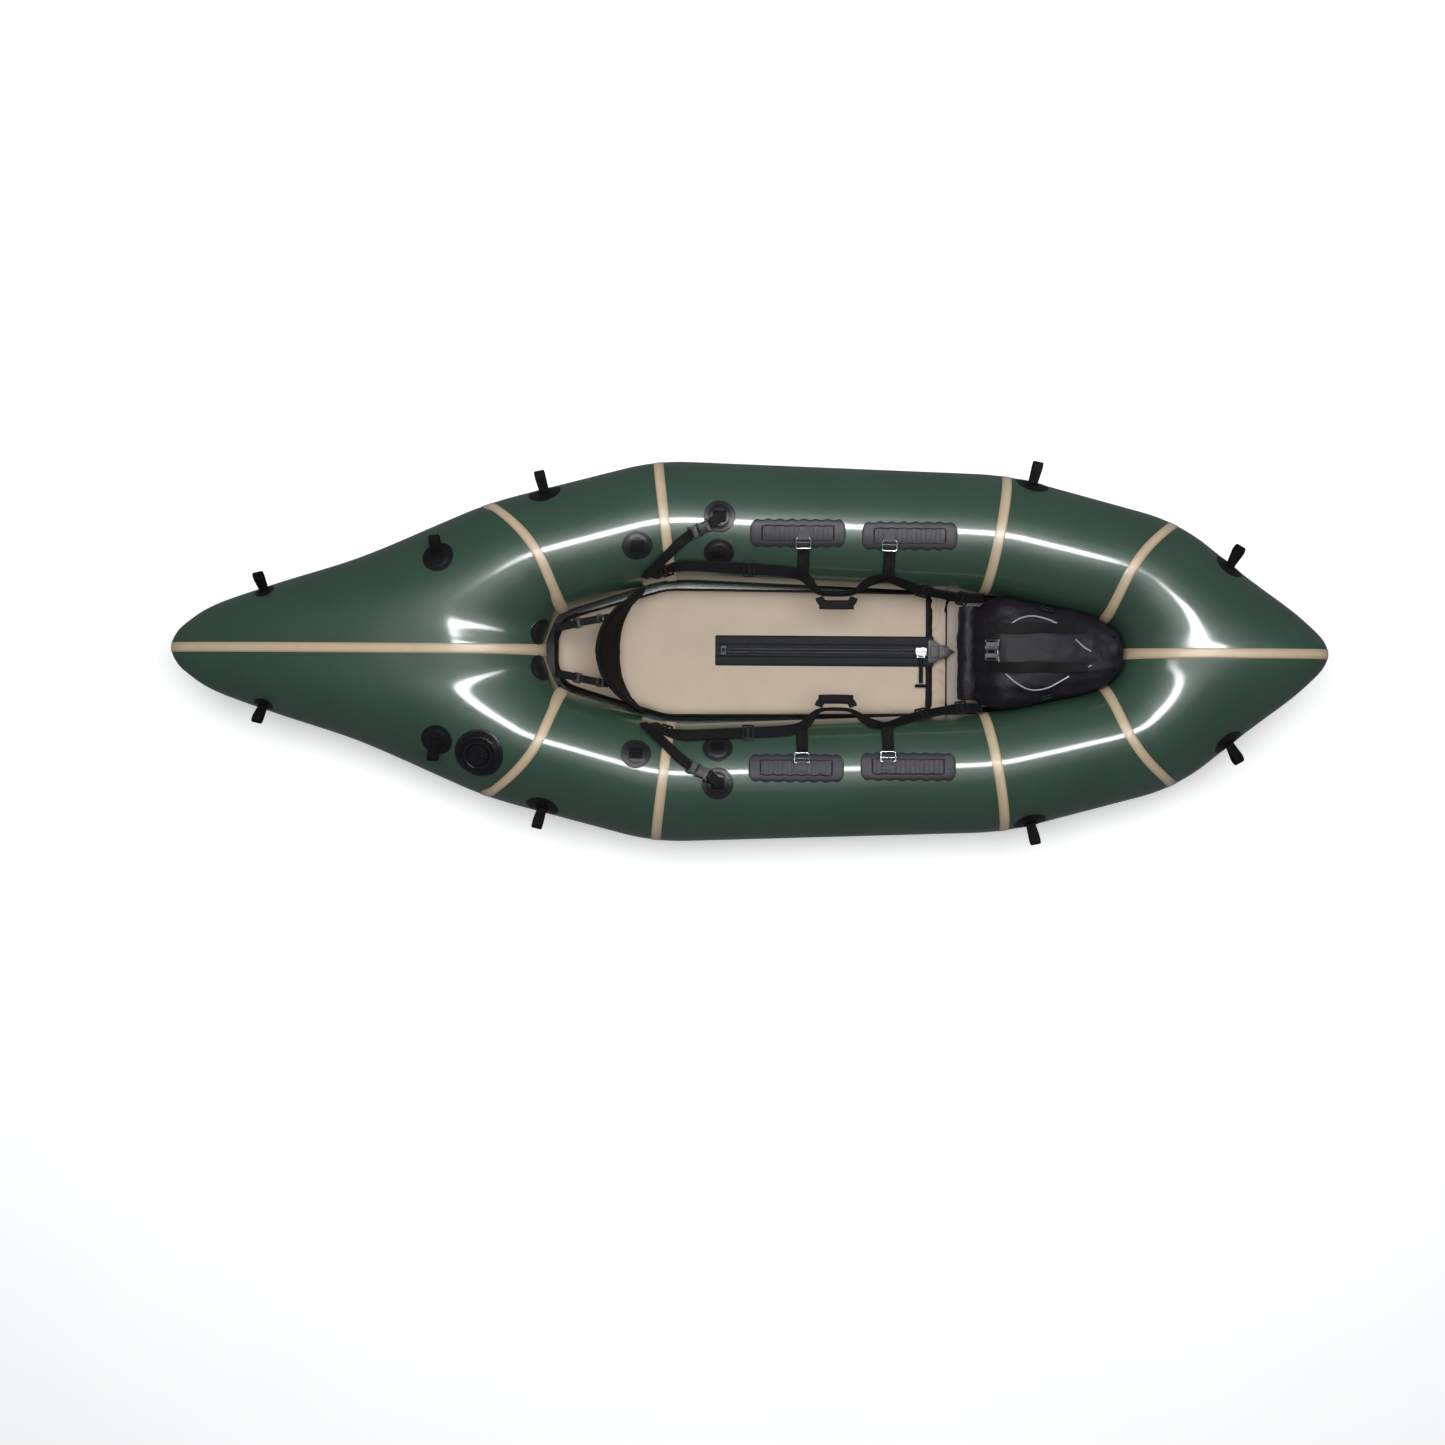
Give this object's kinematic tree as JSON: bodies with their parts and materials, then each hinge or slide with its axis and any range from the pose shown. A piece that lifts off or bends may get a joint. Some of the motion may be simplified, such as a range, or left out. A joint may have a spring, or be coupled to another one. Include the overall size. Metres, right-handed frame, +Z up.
{
  "type": "inflatable kayak",
  "caption": "Packraft-style inflatable kayak with tapered stern, padded backband, thigh braces, zipped seat cushion and roll-top bow bag.",
  "frame": {"origin": "on the ground under the middle of the hull", "axes": "+X towards the bow, +Y towards port, +Z up"},
  "size_m": [2.9026, 0.9746, 0.3307],
  "materials": {
    "backband_fabric": "padded mesh fabric",
    "bag_buckle_plastic": "moulded, satin",
    "bag_fabric": "satin coated fabric",
    "black_piping": "matt woven edge",
    "black_plastic": "moulded, fine grain",
    "black_webbing": "woven, matt",
    "cushion_fabric": "satin coated fabric",
    "floor_fabric": "satin coated fabric",
    "front_fabric": "satin coated fabric",
    "harness_patch_fabric": "coated disc, satin",
    "hull_fabric": "glossy coated fabric",
    "pad_rubber": "moulded, ribbed",
    "patch_fabric": "coated disc, satin",
    "reflective_piping": "silver retroreflective",
    "ring_steel": "bright stainless",
    "seam_tape": "satin coated tape",
    "slider_metal": "satin metal",
    "tab_fabric": "coated tab",
    "valve_plastic": "moulded, satin",
    "valve_rubber": "moulded, satin",
    "zip_tape": "satin coated tape",
    "zip_teeth": "moulded"
  },
  "bodies": {
    "hull": {"bag_buckle_plug": "bag_buckle_plastic", "bag_buckle_socket": "bag_buckle_plastic", "bag_piping": "reflective_piping", "bag_roll_top": "bag_fabric", "bag_straps": "black_webbing", "bow_bag": "bag_fabric", "bow_centre_tape": "seam_tape", "bow_quarter_tube_port": "hull_fabric", "bow_quarter_tube_starboard": "hull_fabric", "bow_shell_port": "hull_fabric", "bow_shell_starboard": "hull_fabric", "front_cushion": "front_fabric", "front_cushion_piping": "black_piping", "harness_patches": "harness_patch_fabric", "hip_buckles": "black_plastic", "hip_strap_port": "black_webbing", "hip_strap_starboard": "black_webbing", "hull_floor": "floor_fabric", "mid_tube_port": "hull_fabric", "mid_tube_starboard": "hull_fabric", "ring_tabs": "tab_fabric", "ring_tapes": "seam_tape", "seat_cushion": "cushion_fabric", "seat_cushion_piping": "black_piping", "stern_centre_tape": "seam_tape", "stern_quarter_tube_port": "hull_fabric", "stern_quarter_tube_starboard": "hull_fabric", "stern_shell_port": "hull_fabric", "stern_shell_starboard": "hull_fabric", "stern_strap_port": "black_webbing", "stern_strap_starboard": "black_webbing", "stern_tip_loops": "black_webbing", "thigh_pads": "pad_rubber", "thigh_strap_port": "black_webbing", "thigh_strap_starboard": "black_webbing", "tie_down_patches": "patch_fabric", "valve_collar": "valve_plastic", "valve_flange": "valve_rubber", "webbing_adjusters": "black_plastic", "zipper_dock": "zip_teeth", "zipper_rails": "zip_teeth", "zipper_tape": "zip_tape"},
    "loop_stern_deck_port": {"loop_stern_deck_port": "black_webbing"},
    "loop_stern_deck_starboard": {"loop_stern_deck_starboard": "black_webbing"},
    "loop_stern_side_port": {"loop_stern_side_port": "black_webbing"},
    "loop_stern_side_starboard": {"loop_stern_side_starboard": "black_webbing"},
    "loop_bow_side_port": {"loop_bow_side_port": "black_webbing"},
    "loop_bow_side_starboard": {"loop_bow_side_starboard": "black_webbing"},
    "loop_bow_deck_port": {"loop_bow_deck_port": "black_webbing"},
    "loop_bow_deck_starboard": {"loop_bow_deck_starboard": "black_webbing"},
    "zipper_slider": {"zipper_slider": "slider_metal"},
    "zipper_pull": {"zipper_pull": "black_webbing"},
    "valve_cap": {"valve_cap": "valve_plastic"},
    "aft_ring_port": {"aft_ring_port": "ring_steel"},
    "aft_ring_starboard": {"aft_ring_starboard": "ring_steel"},
    "fore_ring_port": {"fore_ring_port": "ring_steel"},
    "fore_ring_starboard": {"fore_ring_starboard": "ring_steel"},
    "grab_handle_port": {"grab_handle_port": "black_webbing"},
    "grab_handle_starboard": {"grab_handle_starboard": "black_webbing"},
    "backband": {"backband": "backband_fabric"}
  },
  "joints": [
    {"name": "loop_stern_deck_port_flex", "type": "hinge", "parent": "hull", "child": "loop_stern_deck_port", "pos_m": [-0.77265, 0.23051, 0.28511], "axis": [0.9852, 0.0693, 0.1568], "range_deg": [-18, 18], "stiffness_Nm_per_rad": 0.08},
    {"name": "loop_stern_deck_starboard_flex", "type": "hinge", "parent": "hull", "child": "loop_stern_deck_starboard", "pos_m": [-0.77265, -0.23051, 0.28511], "axis": [0.9852, -0.0693, 0.1568], "range_deg": [-18, 18], "stiffness_Nm_per_rad": 0.08},
    {"name": "loop_stern_side_port_flex", "type": "hinge", "parent": "hull", "child": "loop_stern_side_port", "pos_m": [-0.51286, 0.39928, 0.21784], "axis": [0.9742, 0.1999, 0.1045], "range_deg": [-18, 18], "stiffness_Nm_per_rad": 0.08},
    {"name": "loop_stern_side_starboard_flex", "type": "hinge", "parent": "hull", "child": "loop_stern_side_starboard", "pos_m": [-0.51286, -0.39928, 0.21784], "axis": [0.9742, -0.1999, 0.1045], "range_deg": [-18, 18], "stiffness_Nm_per_rad": 0.08},
    {"name": "loop_bow_side_port_flex", "type": "hinge", "parent": "hull", "child": "loop_bow_side_port", "pos_m": [0.71891, 0.4304, 0.20768], "axis": [0.971, -0.2201, -0.0932], "range_deg": [-18, 18], "stiffness_Nm_per_rad": 0.08},
    {"name": "loop_bow_side_starboard_flex", "type": "hinge", "parent": "hull", "child": "loop_bow_side_starboard", "pos_m": [0.71891, -0.4304, 0.20768], "axis": [0.971, 0.2201, -0.0932], "range_deg": [-18, 18], "stiffness_Nm_per_rad": 0.08},
    {"name": "loop_bow_deck_port_flex", "type": "hinge", "parent": "hull", "child": "loop_bow_deck_port", "pos_m": [1.21504, 0.2247, 0.22232], "axis": [0.8437, -0.4518, -0.2899], "range_deg": [-18, 18], "stiffness_Nm_per_rad": 0.08},
    {"name": "loop_bow_deck_starboard_flex", "type": "hinge", "parent": "hull", "child": "loop_bow_deck_starboard", "pos_m": [1.21504, -0.2247, 0.22232], "axis": [0.8437, 0.4518, -0.2899], "range_deg": [-18, 18], "stiffness_Nm_per_rad": 0.08},
    {"name": "zipper_run", "type": "slide", "parent": "hull", "child": "zipper_slider", "axis": [1, 0, 0], "range_m": [-0.484, 0]},
    {"name": "zipper_pull_hinge", "type": "hinge", "parent": "zipper_slider", "child": "zipper_pull", "pos_m": [0.45, -0.0085, 0.082], "axis": [-1, 0, 0], "range_deg": [0, 105]},
    {"name": "valve_cap_turn", "type": "hinge", "parent": "hull", "child": "valve_cap", "pos_m": [-0.666, -0.262, 0.28738], "axis": [-0.1558, -0.3287, 0.9315], "range_deg": [0, 180]},
    {"name": "aft_ring_port_swing", "type": "hinge", "parent": "hull", "child": "aft_ring_port", "pos_m": [0.1379, 0.27823, 0.30416], "axis": [-0.9999, 0.0028, -0.0098], "range_deg": [0, 70]},
    {"name": "aft_ring_starboard_swing", "type": "hinge", "parent": "hull", "child": "aft_ring_starboard", "pos_m": [0.1379, -0.27823, 0.30416], "axis": [0.9999, 0.0028, 0.0098], "range_deg": [0, 70]},
    {"name": "fore_ring_port_swing", "type": "hinge", "parent": "hull", "child": "fore_ring_port", "pos_m": [0.3519, 0.27345, 0.30504], "axis": [-1, 0.0024, -0.0091], "range_deg": [0, 70]},
    {"name": "fore_ring_starboard_swing", "type": "hinge", "parent": "hull", "child": "fore_ring_starboard", "pos_m": [0.3519, -0.27345, 0.30504], "axis": [1, 0.0024, 0.0091], "range_deg": [0, 70]},
    {"name": "grab_handle_port_flex", "type": "hinge", "parent": "hull", "child": "grab_handle_port", "pos_m": [0.226, 0.137, 0.201], "axis": [1, 0, 0], "range_deg": [-15, 15], "stiffness_Nm_per_rad": 0.15},
    {"name": "grab_handle_starboard_flex", "type": "hinge", "parent": "hull", "child": "grab_handle_starboard", "pos_m": [0.226, -0.137, 0.201], "axis": [-1, 0, 0], "range_deg": [-15, 15], "stiffness_Nm_per_rad": 0.15},
    {"name": "backband_tilt", "type": "hinge", "parent": "hull", "child": "backband", "pos_m": [-0.262, 0, 0.152], "axis": [0, 1, 0], "range_deg": [0, 10]}
  ]
}
